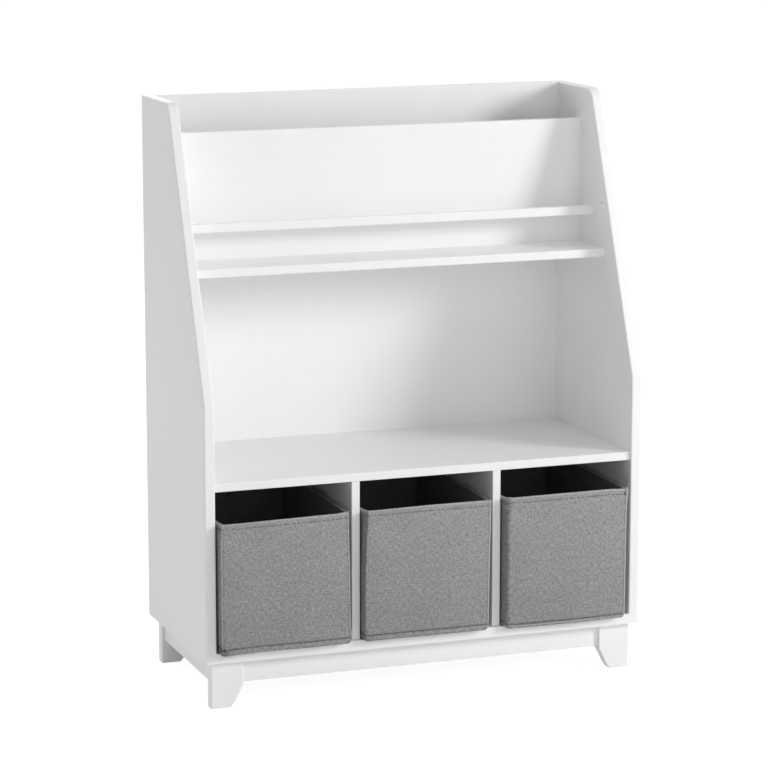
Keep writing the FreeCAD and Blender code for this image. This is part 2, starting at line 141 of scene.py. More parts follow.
# One stitch, as (place along it, rise in thread radii, share of its thickness).
STITCH_ARCH = ((-0.5, -0.45, 0.55), (-0.3, 0.15, 1.0), (0.0, 0.35, 1.0), (0.3, 0.15, 1.0), (0.5, -0.45, 0.55))
CORNER_RADIUS = 1.3 * MM
LEAST_RADIUS = 0.2 * MM       # of a corner inside the wall
FOOT_ROUNDING = 3.0 * MM      # the corners are this much rounder at the foot
FOOT_ROUNDING_HEIGHT = 9.0 * MM
CORNER_STEPS = 12
CORNER_COLUMNS = (0.0, 0.8, 1.6, 2.4, 3.4, 4.6)   # columns beside each corner, in millimetres
COLUMN_START = 6.0 * MM
SEAM_RIDGE = 1.0 * MM         # raised seam at each corner
SEAM_START = 0.5 * MM         # it grows between these heights above the foot
SEAM_FULL = 5.0 * MM
GROOVE_PLACE = 1.3 * MM       # groove beside that seam, from the corner
GROOVE_WIDTH = 0.8 * MM
GROOVE_SHADE_WIDTH = 0.7 * MM
GROOVE_SHARE = 0.35           # its depth, as a share of the seam
FOOT_PUFF = 0.9 * MM          # the band under the foot stitches swells this much
FOOT_TURN = 1.9 * MM          # height at which the underside has turned into the wall
FOOT_GROOVE = 1.0 * MM        # depth of the stitched lines
HEM_GROOVE = 0.6 * MM
SEAM_REACH = 1.8 * MM         # half width of a stitched line
GATHER = 0.35 * MM            # the cloth is drawn in this much more at each stitch
HEM_STITCH_DROP = 7.8 * MM    # below the top edge
CREST_HEIGHT = 4 * MM         # folded edge at the top
WALL = 5.1 * MM               # cover, board and lining together
ROW_PITCH = 3.4 * MM          # between the rows of points up the wall
LINING_THICKNESS = 1.0 * MM
LINING_GAP = 0.2 * MM         # between the lining and the wall's inside
LINING_DROP = 1.7 * MM        # its top lies this far under the cover's
# The lining's floor and its turn up into the wall, as (inset beyond the wall, rise) in millimetres.
LINING_FLOOR = ((12.9, 0.0), (3.0, 0.0), (0.8, 0.6))
BACK_ROOM = 0.5 * MM          # the cloth reaches this far behind its box at most, short of the back panel
INSERT_STEPS = 24
INSERT_EDGE = 0.7 * MM        # the insert's top edge drops this much
INSERT_EDGE_WIDTH = 0.025     # as a share of its width and depth
INSERT_WAVE = 0.25 * MM       # its top is uneven by this much
# The underside of the foot, from the inside to the outside, as (inset, rise) in millimetres.
UNDER_FOOT = ((16.0, 0.0), (7.0, 0.0), (4.0, 0.1), (2.2, 0.4), (1.0, 1.0), (0.3, 1.9))
PUFF_PLACES = (0.3, 0.6, 0.85)
# The stitched line, as (height in millimetres, share of its depth, share of its gather and of its painted
# shade).
STITCHED_LINE = ((-1.8, 0, 0), (-0.9, 0.35, 0.4), (0, 1, 1), (0.9, 0.35, 0.4), (1.8, 0, 0))
# The crest, as (inset, drop, painted light) with lengths in millimetres: up the outside, then down to the
# lining. Above 0 it is a painted highlight along the top edge, below 0 painted shade inside the fold.
CREST_OUTSIDE = ((-0.25, 4.6, 0), (-0.3, 2.9, 0), (-0.1, 1.9, 0.1), (0.1, 1.1, 0.4), (0.7, 0.3, 0.55),
                 (1.8, 0.0, 0.3), (2.6, 0.0, -0.6))
CREST_INSIDE = ((1.4, 0.1, -1), (0.5, 0.7, -1), (0.1, 1.6, -1), (0, 3.0, -1))    # inset short of the lining

# ---- Slack of each bin, in millimetres ----
# The edges are (height, how far it stands to the right of its box) from the foot at 0 to the top at 1, and
# the top is (place, rise) from the left at 0 to the right at 1.
FOOT_STITCH = {1: 9.0, 2: 9.0, 3: 6.0}      # height of the lower stitched line
LEFT_EDGE = {
    1: ((0, -2.4), (0.5, -2.8), (0.88, -2.9), (1, -0.8)),
    2: ((0, -4.3), (0.08, -5.1), (0.5, -4.8), (0.8, -2.6), (0.92, -1.1), (1, -0.4)),
    3: ((0, -1.5), (0.5, -1.2), (0.9, -0.9), (1, -0.9)),
}
RIGHT_EDGE = {
    1: ((0, 1.8), (0.05, 2.9), (0.13, 0.4), (0.5, -0.7), (0.9, -2.0), (1, -2.0)),
    2: ((0, -4.3), (0.1, -4.0), (0.5, -2.9), (0.9, -1.4), (1, -1.2)),
    3: ((0, -2.3), (0.12, -2.2), (0.5, -1.6), (0.85, -1.4), (0.95, 0.2), (1, 0.6)),
}
TOP_EDGE = {
    1: ((0, -3.8), (0.15, -3.7), (0.5, -2.8), (0.9, -1.6), (1, -0.2)),
    2: ((0, -0.9), (0.2, -0.4), (0.5, 0.2), (0.8, 0.1), (1, -0.1)),
    3: ((0, 0.9), (0.5, 1.2), (0.86, 1.6), (0.94, 0.6), (1, 0.6)),
}
# The foot sags past the front edge of the bottom panel: (place, drop) from the left at 0 to the right at 1.
FOOT_DROP = {
    1: ((0, 3.0), (0.12, 1.6), (0.3, 0.6), (0.7, 1.2), (1, 0.6)),
    2: ((0, 0.6), (0.3, 0.2), (0.6, 0.6), (1, 0.4)),
    3: ((0, 1.8), (0.3, 2.4), (0.6, 2.6), (0.85, 1.5), (1, 1.4)),
}
SIDE_FLARE = {1: 1.0, 2: 0.5, 3: 0.6}       # the left wall swells this much behind its front edge
LEFT_DIP = {1: 4.4, 2: 5.0, 3: 3.0}         # the left wall's top edge drops this much behind the front
LEFT_ROUNDING = {1: 0.0, 2: 1.2, 3: 4.2}    # softer front left corner
LEFT_SEAM = {1: 1.0, 2: 0.4, 3: 0.0}        # share of the raised seam at the front left corner
TOP_ROUNDING = {1: 0.0, 2: 0.6, 3: 5.5}     # softer top left corner
TOP_ROUNDING_SPAN = (0.86, 0.97)            # it grows between these shares of the height
EAR = {1: 1.5, 2: 0.9, 3: 1.6}              # the seam stands up at the top right corner
PLAIN_EAR = 0.6                             # the same at the other corners
EAR_START = 2.0 * MM                        # an ear grows between these depths under the top edge
EAR_FULL = 0.4 * MM
PINCH = {1: 0.3, 2: 0.4, 3: 2.0}            # fold beside the top right corner
CRUMPLE = {1: 2.2, 2: 1.2, 3: 0.2}          # creases round the bottom left corner

# ---- Reach of that slack ----
FRONT_REACH = 60 * MM         # the slack fades over this distance from the front
BACK_SLACK = 0.25             # share of it that is left at the back
FLARE_REACH = 12 * MM
DIP_REACH = 22 * MM
SAG_START = 2 * MM            # the foot's sag fades between these distances from the front
SAG_END = 12 * MM
FRONT_DEPTH = 14 * MM         # the fold and the creases stay within this distance from the front
PINCH_INSET = 4.2 * MM        # middle of the fold, from the right edge and from the top
PINCH_DROP = 6.5 * MM
PINCH_SIZE = (1.4 * MM, 3.8 * MM)           # half width and half height of the fold
PINCH_SHADE_SIZE = (1.6 * MM, 3.4 * MM)     # and of its shade
CRUMPLE_WIDTH = 8 * MM
CRUMPLE_HEIGHT = 9 * MM
CRUMPLE_RISE = 4 * MM         # middle of the creases, above the foot

# ---- Noise on the cloth: waves per metre round the bin and up it ----
BROAD_SLACK = (9.0, 11.0)
FINE_SLACK = (34.0, 28.0)
CREASES = (230.0, 260.0)
UNEVEN_SEAM = (160.0, 130.0)
KNOTS = (310.0, 420.0)
UNEVEN_STITCH = (170.0, 90.0)

# ---- Painted highlights, painted shade and tone of the cloth: paler above 0, darker below 0 ----
PALEST = 1.4                  # value at which the cloth has its palest colour, for pale yarn and painted highlights
DARKEST = -1.2                # and its darkest colour, for dark yarn and painted shade
SEAM_HIGHLIGHT = {1: 1.2, 2: 1.7, 3: 2.2}        # painted highlight on the seams on the right
# painted highlight on the seams on the left
LEFT_SEAM_HIGHLIGHT = 0.45
FOOT_BAND_HIGHLIGHT = {1: 0.1, 2: 0.15, 3: 0.8}       # painted highlight on the upper edge of the band under the foot stitches
# painted shade in the stitched lines at the foot and under the hem
FOOT_LINE_SHADE = -0.55
HEM_LINE_SHADE = -0.12
# painted shade in the groove beside each corner seam
GROOVE_PAINTED_SHADE = -0.3
SIDE_PAINTED_SHADE = -0.25             # painted shade on the side walls
RIGHT_CREST_SHADE = -0.5       # painted shade on the top edge of the right wall
# painted shade in the creases at the bottom left
CRUMPLE_SHADE = -0.4
# painted shade in the fold beside the top right corner
PINCH_PAINTED_SHADE = -0.4
KNOT_WEAR = 0.5               # uneven yarn under the foot stitches
RIGHT_FRONT_PALING = 0.1        # the front grows this much paler to the right
LOW_FRONT_DARKENING = -0.18        # and this much darker to the foot

# Number and box of a bin, and the heights of its stitched lines.
Tub = namedtuple("Tub", "number low high foot_stitch hem_stitch")
# A height on a bin's profile: how far it is inset, how much the stitches gather it, and its painted light and
# tone.
Row = namedtuple("Row", "inset z gather wear")
# A point of a bin's outline: place, outward direction, distance round the bin, share of a corner from 0 to 1,
# 1 in the middle of a stitch and 0 elsewhere, and the distance from the nearest corner.
Spot = namedtuple("Spot", "x y out_x out_y around corner stitch edge")


# ---- Node helpers ----
def add_node(tree, kind, **values):
    """Adds a shader node; values are its properties, or its inputs by name with spaces as underscores."""
    made = tree.nodes.new(kind)
    for name, value in values.items():
        if hasattr(made, name):
            setattr(made, name, value)
        else:
            made.inputs[name.replace("_", " ")].default_value = value
    return made


def link(tree, source, target):
    """Links an output socket to an input socket."""
    tree.links.new(source, target)


def math_node(tree, operation, a, b=None):
    """Math node on sockets or numbers; returns its output."""
    made = tree.nodes.new("ShaderNodeMath")
    made.operation = operation
    for i, value in enumerate((a, b)):
        if value is None:
            continue
        if isinstance(value, (int, float)):
            made.inputs[i].default_value = value
        else:
            link(tree, value, made.inputs[i])
    return made.outputs[0]


def times(tree, value, factor):
    """A value socket times a number."""
    return math_node(tree, "MULTIPLY", value, factor)


def mix_colours(tree, factor, a, b):
    """Mixes two colours or colour sockets by a factor socket or number."""
    made = tree.nodes.new("ShaderNodeMix")
    made.data_type = "RGBA"
    for socket, value in ((made.inputs[0], factor), (made.inputs[6], a), (made.inputs[7], b)):
        if isinstance(value, (int, float)):
            socket.default_value = value
        elif isinstance(value, tuple):
            socket.default_value = (*value, 1.0)
        else:
            link(tree, value, socket)
    return made.outputs[2]


def noise_node(tree, vector, scale, detail=3.0, roughness=0.5):
    """Cloudy pattern from 0 to 1 over a vector."""
    made = add_node(tree, "ShaderNodeTexNoise", Scale=scale, Detail=detail, Roughness=roughness)
    link(tree, vector, made.inputs["Vector"])
    return made.outputs["Fac"]


def stretched(tree, vector, scale):
    """Scales a vector by a different amount along each axis."""
    made = add_node(tree, "ShaderNodeMapping")
    made.inputs["Scale"].default_value = scale
    link(tree, vector, made.inputs["Vector"])
    return made.outputs["Vector"]


def spread(tree, value, low, high, to_low=0.0, to_high=1.0):
    """Stretches a value so that low becomes to_low and high becomes to_high."""
    made = add_node(tree, "ShaderNodeMapRange")
    for name, number in (("From Min", low), ("From Max", high), ("To Min", to_low), ("To Max", to_high)):
        made.inputs[name].default_value = number
    link(tree, value, made.inputs["Value"])
    return made.outputs["Result"]


def tinted(tree, colour, pattern, low, high, share, tint):
    """Mixes a tint into a colour, from nothing where the pattern is low to a share of it where it is high."""
    return mix_colours(tree, times(tree, spread(tree, pattern, low, high), share), colour, tint)


def add_bump(tree, shader, height, strength, distance):
    """Gives a shader the relief of a height socket."""
    made = add_node(tree, "ShaderNodeBump", Strength=strength, Distance=distance)
    link(tree, height, made.inputs["Height"])
    link(tree, made.outputs["Normal"], shader.inputs["Normal"])


def new_material(name, **values):
    """Material with one Principled shader, its tree and that shader."""
    made = bpy.data.materials.new(name)
    made.use_nodes = True
    shader = made.node_tree.nodes["Principled BSDF"]
    for key, value in values.items():
        shader.inputs[key.replace("_", " ")].default_value = value
    return made, made.node_tree, shader


def object_place(tree):
    """Place on the surface in the object's own axes, in metres."""
    return tree.nodes.new("ShaderNodeTexCoord").outputs["Object"]


# ---- Materials ----
def white_paint(name, along):
    """Satin white paint with a fine roller stipple, and faint streaks along the board."""
    made, tree, shader = new_material(name, Specular_IOR_Level=0.42)
    place = object_place(tree)
    streak_scale = [70.0, 70.0, 70.0]
    streak_scale[along] = 3.0
    streaks = noise_node(tree, stretched(tree, place, streak_scale), 1.0, 4.0)
    clouds = noise_node(tree, place, 5.0, 2.0)
    stipple = noise_node(tree, place, 900.0, 2.0)
    tone = math_node(tree, "ADD", times(tree, streaks, 0.25), times(tree, clouds, 0.75))
    link(tree, mix_colours(tree, spread(tree, tone, 0.35, 0.65), *PAINT), shader.inputs["Base Color"])
    link(tree, spread(tree, clouds, 0.0, 1.0, *PAINT_ROUGHNESS), shader.inputs["Roughness"])
    height = math_node(tree, "ADD", times(tree, stipple, 0.5), streaks)
    add_bump(tree, shader, height, 0.12, 0.0003)
    return made


def bin_fabric():
    """Heathered plain weave: dark and light yarns crossing, with slubs and stray pale fibres. The wear
    attribute paints highlights on raised seams above 0, and paints shade in stitched grooves and folds below
    0."""
    made, tree, shader = new_material("bin_fabric", Roughness=0.88, Specular_IOR_Level=0.22,
                                      Sheen_Weight=0.22, Sheen_Roughness=0.45)
    sheet_node = tree.nodes.new("ShaderNodeUVMap")
    sheet_node.uv_map = "cloth"
    sheet = sheet_node.outputs["UV"]
    warp_wave, weft_wave = yarn_waves(tree, sheet)
    over = spread(tree, math_node(tree, "MULTIPLY", warp_wave, weft_wave), -0.35, 0.35)
    warp_tone = noise_node(tree, stretched(tree, sheet, (800.0, 150.0, 1.0)), 1.0, 2.0)
    weft_tone = noise_node(tree, stretched(tree, sheet, (160.0, 850.0, 1.0)), 1.0, 2.0)
    warp = mix_colours(tree, spread(tree, warp_tone, 0.3, 0.7), *WARP_YARN)
    weft = mix_colours(tree, spread(tree, weft_tone, 0.3, 0.7), *WEFT_YARN)
    heather = noise_node(tree, sheet, 520.0, 3.0, 0.6)
    colour = mix_colours(tree, spread(tree, heather, 0.60, 0.80), mix_colours(tree, over, warp, weft), FLECK)
    colour = tinted(tree, colour, noise_node(tree, sheet, 14.0, 3.0), 0.35, 0.75, 0.16, CLOTH_SHADE)
    colour = tinted(tree, colour, noise_node(tree, sheet, 360.0, 2.0), 0.45, 0.70, 0.42, CLOTH_MOTTLE)
    wear = add_node(tree, "ShaderNodeAttribute", attribute_name="wear").outputs["Fac"]
    # paler yarn and painted highlights where the attribute is above 0
    colour = mix_colours(tree, spread(tree, wear, 0.0, PALEST), colour, PALE_CLOTH_AND_HIGHLIGHT)
    # darker yarn and painted shade where the attribute is below 0
    colour = mix_colours(tree, spread(tree, wear, 0.0, DARKEST), colour, DARK_CLOTH_AND_SHADE)
    link(tree, colour, shader.inputs["Base Color"])
    warp_height = math_node(tree, "ABSOLUTE", warp_wave)
    weft_height = math_node(tree, "ABSOLUTE", weft_wave)
    threads = math_node(tree, "ADD", warp_height, weft_height)
    add_bump(tree, shader, math_node(tree, "ADD", threads, times(tree, heather, 1.6)), 0.45, 0.0003)
    return made


def yarn_waves(tree, sheet):
    """Waves across and up the cloth, half a wave to a yarn."""
    parts = tree.nodes.new("ShaderNodeSeparateXYZ")
    link(tree, sheet, parts.inputs[0])
    return [math_node(tree, "SINE", times(tree, parts.outputs[axis], math.pi / YARN)) for axis in ("X", "Y")]


def lining_fabric():
    """Black non-woven lining, point-bonded in a fine dimple pattern."""
    made, tree, shader = new_material("bin_lining", Roughness=0.93, Specular_IOR_Level=0.15,
                                      Sheen_Weight=0.05, Sheen_Roughness=0.6)
    place = object_place(tree)
    dimples = add_node(tree, "ShaderNodeTexVoronoi", Scale=620.0, Randomness=0.25)
    link(tree, place, dimples.inputs["Vector"])
    fibres = noise_node(tree, place, 340.0, 4.0, 0.65)
    link(tree, mix_colours(tree, spread(tree, fibres, 0.3, 0.7), *LINING), shader.inputs["Base Color"])
    height = math_node(tree, "ADD", spread(tree, dimples.outputs["Distance"], 0.0, 0.5), fibres)
    add_bump(tree, shader, height, 0.4, 0.0002)
    return made


def sewing_thread():
    """Twisted sewing thread, darker than the cloth, so that it also paints the shade in the stitch holes and
    puckers.
    """
    made, tree, shader = new_material("bin_thread", Roughness=0.7, Sheen_Weight=0.3, Sheen_Roughness=0.4)
    place = object_place(tree)
    twist = noise_node(tree, stretched(tree, place, (900.0, 900.0, 2600.0)), 1.0, 1.0)
    link(tree, mix_colours(tree, spread(tree, twist, 0.35, 0.65), *THREAD_AND_STITCH_SHADE), shader.inputs["Base Color"])
    add_bump(tree, shader, twist, 0.5, 0.0001)
    return made


def paperboard():
    """Grey-brown stiff board with short fibres."""
    made, tree, shader = new_material("bin_board", Roughness=0.9, Specular_IOR_Level=0.2)
    place = object_place(tree)
    fibres = noise_node(tree, stretched(tree, place, (260.0, 90.0, 260.0)), 1.0, 5.0, 0.7)
    link(tree, mix_colours(tree, spread(tree, fibres, 0.35, 0.65), *BOARD), shader.inputs["Base Color"])
    add_bump(tree, shader, fibres, 0.3, 0.0003)
    return made


def raw_wood():
    """Bare pale hardwood with fine pores and soft growth bands."""
    made, tree, shader = new_material("raw_wood", Roughness=0.62, Specular_IOR_Level=0.3)
    place = object_place(tree)
    bands = add_node(tree, "ShaderNodeTexWave", Scale=26.0, Distortion=5.0, Detail=3.0)
    link(tree, stretched(tree, place, (1.0, 0.35, 1.6)), bands.inputs["Vector"])
    pores = noise_node(tree, stretched(tree, place, (900.0, 60.0, 900.0)), 1.0, 3.0)
    tone = math_node(tree, "ADD", times(tree, bands.outputs["Fac"], 0.55), times(tree, pores, 0.45))
    link(tree, mix_colours(tree, tone, *WOOD), shader.inputs["Base Color"])
    add_bump(tree, shader, pores, 0.25, 0.0002)
    return made


def metal(name, shades, roughness):
    """Plated or cast metal with cloudy tones and fine scratches."""
    made, tree, shader = new_material(name, Metallic=1.0)
    place = object_place(tree)
    clouds = noise_node(tree, place, 240.0, 4.0, 0.6)
    scratches = noise_node(tree, stretched(tree, place, (2600.0, 300.0, 300.0)), 1.0, 2.0)
    link(tree, mix_colours(tree, clouds, *shades), shader.inputs["Base Color"])
    link(tree, spread(tree, clouds, 0.0, 1.0, *roughness), shader.inputs["Roughness"])
    add_bump(tree, shader, scratches, 0.2, 0.0001)
    return made


# ---- Mesh helpers ----
def make_piece(name, body, material, build):
    """Makes an object from build(bmesh), gives it a material and lets it ride on a body."""
    mesh = bpy.data.meshes.new(name)
    shape = bmesh.new()
    build(shape)
    shape.to_mesh(mesh)
    shape.free()
    mesh.materials.append(material)
    made = bpy.data.objects.new(name, mesh)
    bpy.context.scene.collection.objects.link(made)
    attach(made, body)
    return made


def shade_smooth(piece, sharp_degrees=40.0):
    """Smooth shading that keeps edges above an angle sharp."""
    piece.data.shade_smooth()
    piece.data.set_sharp_from_angle(angle=math.radians(sharp_degrees))


def solids_of(node_name):
    """Box of each separate solid in a CAD node, as (lowest corner, highest corner)."""
    shape = bmesh.new()
    shape.from_mesh(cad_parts[node_name].data)
    bmesh.ops.remove_doubles(shape, verts=shape.verts, dist=1e-7)
    left = set(shape.verts)
    boxes = []
    while left:
        group = {left.pop()}
        edge_of_group = list(group)
        while edge_of_group:
            vertex = edge_of_group.pop()
            for near in (e.other_vert(vertex) for e in vertex.link_edges):
                if near not in group:
                    group.add(near)
                    edge_of_group.append(near)
        left -= group
        places = [v.co for v in group]
        boxes.append((Vector([min(p[k] for p in places) for k in range(3)]),
                      Vector([max(p[k] for p in places) for k in range(3)])))
    shape.free()
    return sorted(boxes, key=lambda b: tuple(round(c, 4) for c in b[0]))


def lathe(shape, profile, place, steps):
    """Turns (radius, height) points round Z and puts the result in place."""
    rings = []
    for radius, height in profile:
        if radius < 1e-9:
            rings.append([shape.verts.new(place @ Vector((0, 0, height)))])
            continue
        rings.append([shape.verts.new(place @ Vector((radius * math.cos(a), radius * math.sin(a), height)))
                      for a in (2 * math.pi * i / steps for i in range(steps))])
    for lower, upper in zip(rings, rings[1:]):
        for i in range(steps):
            corners = [lower[i % len(lower)], lower[(i + 1) % len(lower)],
                       upper[(i + 1) % len(upper)], upper[i % len(upper)]]
            shape.faces.new(list(dict.fromkeys(corners)))


def axis_place(base, direction):
    """Matrix that puts local Z along a direction at a base point."""
    return Matrix.Translation(base) @ direction.to_track_quat("Z", "Y").to_matrix().to_4x4()


# ---- Case ----
def dress_case():
    """Paint on the boards, with the streaks along each board's own length, and bare wood on hidden pieces."""
    paints = [white_paint("white_paint_" + axis, along) for along, axis in enumerate("xyz")]
    lengthwise = {
        0: ("bottom_panel", "lower_shelf", "book_shelf", "book_panel", "book_rail",
            "apron_front", "apron_back"),
        1: ("apron_left", "apron_right"),
        2: ("side_left", "side_right", "back_panel", "divider_1", "divider_2",
            "leg_front_left", "leg_front_right", "leg_back_left", "leg_back_right"),
    }
    for along, names in lengthwise.items():
        for name in names:
            paint_node(name, paints[along])
    wood = raw_wood()
    for name in ("corner_blocks", "dowels"):
        paint_node(name, wood)


def paint_node(name, material):
    """Gives a CAD node one material in place of its own."""
    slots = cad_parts[name].data.materials
    slots.clear()
    slots.append(material)


# ---- Fittings ----
def dress_fittings(zinc, cast):
    """Round cams and screws in place of the flat-sided ones, and metal on the hidden bolts."""
    paint_node("cam_bolts", zinc)
    cams = make_piece("cam_discs", "case", cast, build_cams)
    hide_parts("cam_nuts")
    shade_smooth(cams)
    for name in ("case_screws", "back_screws", "block_screws"):
        screws = make_piece(name + "_heads", "case", zinc,
                            lambda shape, node_name=name: build_screws(shape, node_name))
        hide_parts(name)
        shade_smooth(screws)


def build_cams(shape):
    """Cam discs with a rim, a raised land and a cross recess."""
    for low, high in solids_of("cam_nuts"):
        size = high - low
        faces_back = size.y < size.z
        direction = Vector((0, 1, 0)) if faces_back else Vector((0, 0, -1))
        depth = size.y if faces_back else size.z
        radius = size.x / 2
        place = axis_place((low + high) / 2 + direction * (depth / 2), direction)
        hole = CAM_RECESS_SHARE * radius
        recess = [(0, -CAM_RECESS_DEPTH), (hole, -CAM_RECESS_DEPTH), (1.4 * hole, 0)]
        land = [(0.86 * radius, 0), (0.9 * radius, -CAM_GROOVE_DEPTH), (0.95 * radius, -CAM_GROOVE_DEPTH)]
        rim = [(radius, -CAM_RIM_CHAMFER), (radius, -depth), (0, -depth)]
        lathe(shape, recess + land + rim, place, CAM_STEPS)
        for turn in (0.0, math.pi / 2):
            add_cross_lips(shape, place @ Matrix.Rotation(turn, 4, "Z"), CAM_CROSS_REACH * radius)


def add_cross_lips(shape, place, reach):
    """Raised lip on both sides of one arm of the cross recess."""
    for side in (-1, 1):
        near, far = side * CROSS_LIP_PLACE, side * (CROSS_LIP_PLACE + CROSS_LIP_WIDTH)
        corners = [(-reach, near), (reach, near), (reach, far), (-reach, far)]
        low = [shape.verts.new(place @ Vector((x, y, CROSS_LIP_FOOT))) for x, y in corners]
        high = [shape.verts.new(place @ Vector((x, y, CROSS_LIP_TOP))) for x, y in corners]
        shape.faces.new(high)
        for i in range(4):
            shape.faces.new([low[i], low[(i + 1) % 4], high[(i + 1) % 4], high[i]])


def build_screws(shape, node_name):
    """Countersunk screws with a dished head, a drive socket, a plain shank and a pointed tip."""
    for low, high in solids_of(node_name):
        size = high - low
        along = max(range(3), key=lambda k: size[k])
        length = size[along]
        head = min(size) / 2
        shank = head / 2
        direction = Vector((0, 0, 0))
        direction[along] = 1.0 if head_is_high(node_name, along, low, high) else -1.0
        place = axis_place((low + high) / 2 + direction * (length / 2), direction)
        socket = [(0, -SCREW_SOCKET_DEPTH), (0.36 * head, -SCREW_SOCKET_DEPTH), (0.40 * head, -0.1 * MM)]
        dish = [(0.9 * head, 0), (head, -0.15 * MM), (head, -0.4 * MM)]
        stem = [(shank, -SCREW_HEAD_HEIGHT), (shank, SCREW_TIP_LENGTH - length), (0, -length)]
        lathe(shape, socket + dish + stem, place, SCREW_STEPS)


def head_is_high(node_name, along, low, high):
    """Whether a screw's head is at the high end of its box along an axis."""
    if along == 2:
        return False
    if node_name == "back_screws":
        return True
    return (low[along] + high[along]) / 2 < 0


# ---- Bin shape ----
def find_tub(i):
    """Number and box of a bin, from its cover and hem, with the heights of its stitched lines."""
    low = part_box("bin_%d_cover" % i)[0]
    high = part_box("bin_%d_hem" % i)[1]
    return Tub(i, low, high, low.z + FOOT_STITCH[i] * MM, high.z - HEM_STITCH_DROP)


def smooth(value, start, end):
    """Soft step from 0 at start to 1 at end."""
    u = min(max((value - start) / (end - start), 0.0), 1.0)
    return u * u * (3 - 2 * u)


def hill(*offsets):
    """1 at the top of a smooth hill and almost 0 away from it; the offsets are in widths of the hill."""
    return math.exp(-sum(offset ** 2 for offset in offsets))


def follow(profile, place):
    """Value of a ((place, value), ...) profile at a place, softened at its corners."""
    for (a, value_a), (b, value_b) in zip(profile, profile[1:]):
        if place <= b:
            u = min(max((place - a) / (b - a), 0.0), 1.0)
            return value_a + (value_b - value_a) * (0.5 * u + 0.5 * smooth(u, 0.0, 1.0))
    return profile[-1][1]


def cloth_noise(around, z, waves, seed):
    """Smooth noise from -1 to 1 on the unrolled wall of a bin."""
    return noise.noise(Vector((around * waves[0], z * waves[1], seed)))


def corner_radii(tub, z):
    """Radius of a bin's corners at a height: back left, front left, front right and back right."""
    radius = CORNER_RADIUS + FOOT_ROUNDING * (1 - smooth(z - tub.low.z, 0.0, FOOT_ROUNDING_HEIGHT))
    up = (z - tub.low.z) / (tub.high.z - tub.low.z)
    soft = (LEFT_ROUNDING[tub.number] + TOP_ROUNDING[tub.number] * smooth(up, *TOP_ROUNDING_SPAN)) * MM
    return [radius, radius + soft, radius, radius]


def seam_share(tub, spot):
    """Share of the raised corner seam at a spot: less at the front left, where a bin is softly rounded."""
    low, high = tub.low, tub.high
    at_left = spot.x < (low.x + high.x) / 2 if spot.out_y < -0.5 else spot.out_x < -0.5
    return LEFT_SEAM[tub.number] if at_left and spot.y < (low.y + high.y) / 2 else 1.0


def side_columns(length):
    """Places along one side of a bin, each with 1 in the middle of a stitch and 0 elsewhere."""
    ends = [c * MM for c in CORNER_COLUMNS]
    steps = 2 * round((length - 2 * COLUMN_START) / STITCH_PITCH)
    middle = [(COLUMN_START + (length - 2 * COLUMN_START) * k / steps, k % 2) for k in range(steps + 1)]
    return [(e, 0) for e in ends] + middle + [(length - e, 0) for e in reversed(ends[1:])]


def outline(tub, inset, z):
    """Spots round a bin at a height and inset."""
    low, high = tub.low, tub.high
    x0, x1, y0, y1 = low.x + inset, high.x - inset, low.y + inset, high.y - inset
    corners = [Vector((x0, y1)), Vector((x0, y0)), Vector((x1, y0)), Vector((x1, y1))]
    radii = [max(r - inset, LEAST_RADIUS) for r in corner_radii(tub, z)]
    ways = [Vector((0, -1)), Vector((1, 0)), Vector((0, 1)), Vector((-1, 0))]
    spots = []
    travelled = 0.0
    for k, way in enumerate(ways):
        out = Vector((way.y, -way.x))
        n = (k + 1) % 4
        start = corners[k] + way * radii[k]
        end = corners[n] - way * radii[n]
        length = (high.x - low.x if k % 2 else high.y - low.y) - 2 * CORNER_RADIUS
        for place, stitch in side_columns(length):
            here = start.lerp(end, place / length)
            spots.append(Spot(*here, *out, travelled + place, 0.0, stitch, min(place, length - place)))
        centre = end - out * radii[n]
        for step in range(1, CORNER_STEPS):
            angle = math.pi / 2 * step / CORNER_STEPS
            turned = out * math.cos(angle) + way * math.sin(angle)
            around = travelled + length + CORNER_RADIUS * angle
            spots.append(Spot(*(centre + turned * radii[n]), *turned, around, math.sin(2 * angle), 0, 0.0))
        travelled += length + CORNER_RADIUS * math.pi / 2
    return spots


def lean(tub, point, sag=1.0):
    """Moves a point of a bin with the bin's slack, mostly near its front; sag is its share of the foot's
    drop."""
    i, low, high = tub.number, tub.low, tub.high
    up = min(max((point.z - low.z) / (high.z - low.z), 0.0), 1.0)
    right = min(max((point.x - low.x) / (high.x - low.x), 0.0), 1.0)
    behind = max(point.y - low.y, 0.0)
    share = BACK_SLACK + (1 - BACK_SLACK) * math.exp(-behind / FRONT_REACH)
    left_shift = follow(LEFT_EDGE[i], up)
    right_shift = follow(RIGHT_EDGE[i], up)
    shift = (left_shift + (right_shift - left_shift) * right) * share
    flare = SIDE_FLARE[i] * (1 - math.exp(-behind / FLARE_REACH)) * (1 - right) ** 4
    rise = follow(TOP_EDGE[i], right) * up ** 3 * share
    rise -= LEFT_DIP[i] * (1 - math.exp(-behind / DIP_REACH)) * (1 - right) ** 2 * up ** 3
    rise -= sag * follow(FOOT_DROP[i], right) * (1 - up) ** 8 * (1 - smooth(behind, SAG_START, SAG_END))
    return Vector((point.x + (shift - flare) * MM, point.y, point.z + rise * MM))


def slack(tub, around, z, size=1.0):
    """Soft unevenness of the cloth, outward, fading to nothing at the stitched top and foot."""
    up = (z - tub.low.z) / (tub.high.z - tub.low.z)
    free = max(0.0, math.sin(math.pi * min(max(up, 0.0), 1.0))) ** 0.6
    broad = cloth_noise(around, z, BROAD_SLACK, 7.3 * tub.number)
    fine = cloth_noise(around, z, FINE_SLACK, 3.1 * tub.number + 50)
    return size * MM * free * (0.75 * broad + 0.28 * fine)


